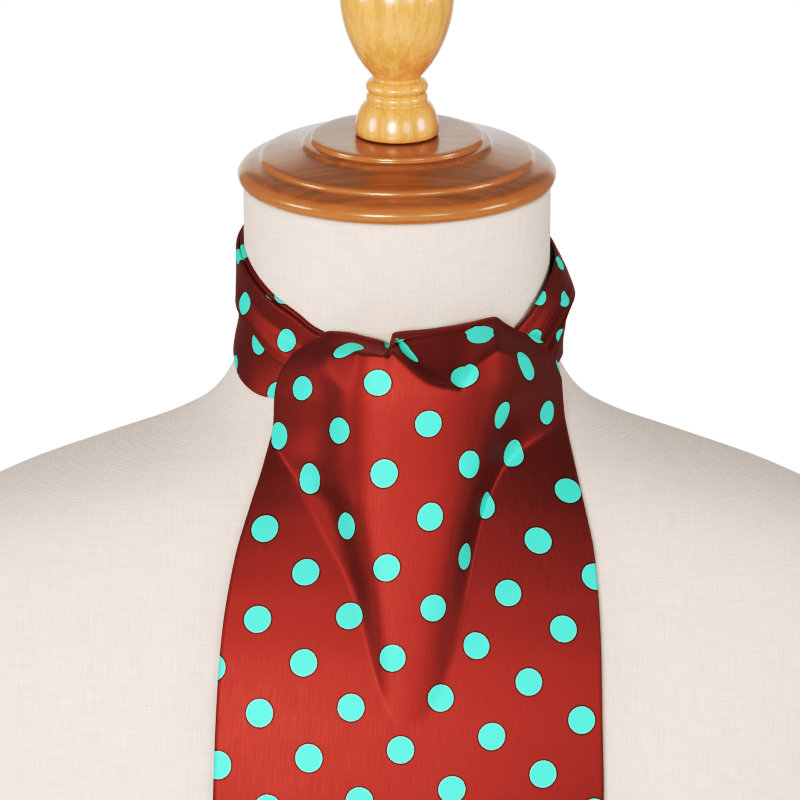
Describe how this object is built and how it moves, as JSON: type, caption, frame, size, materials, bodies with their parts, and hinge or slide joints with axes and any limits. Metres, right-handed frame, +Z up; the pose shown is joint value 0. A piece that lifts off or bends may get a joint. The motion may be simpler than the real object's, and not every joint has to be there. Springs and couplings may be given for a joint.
{
  "type": "silk day cravat on dress form",
  "caption": "Silk day cravat with a pleated neckband and pointed blades, tied on the neck of a limbless linen dress form with a turned wooden cap and knob.",
  "frame": {"origin": "centre of the dress form's flat underside", "axes": "+Z up through the neck cap, -Y towards the wearer's front, +X to the viewer's right as seen from the front"},
  "size_m": [0.432, 0.2267, 0.6213],
  "materials": {
    "silk": "satin-faced woven silk",
    "linen": "plain woven linen",
    "cap_wood": "stained and varnished",
    "knob_wood": "varnished"
  },
  "bodies": {
    "root": {"neckband_back": "silk", "neckband_left": "silk", "neckband_left_inner": "silk", "neckband_left_under": "silk", "neckband_right": "silk", "neckband_right_under": "silk", "knot_wrap": "silk", "back_blade": "silk", "front_blade": "silk", "form_body": "linen", "form_cap": "cap_wood", "form_finial": "knob_wood"}
  },
  "joints": []
}
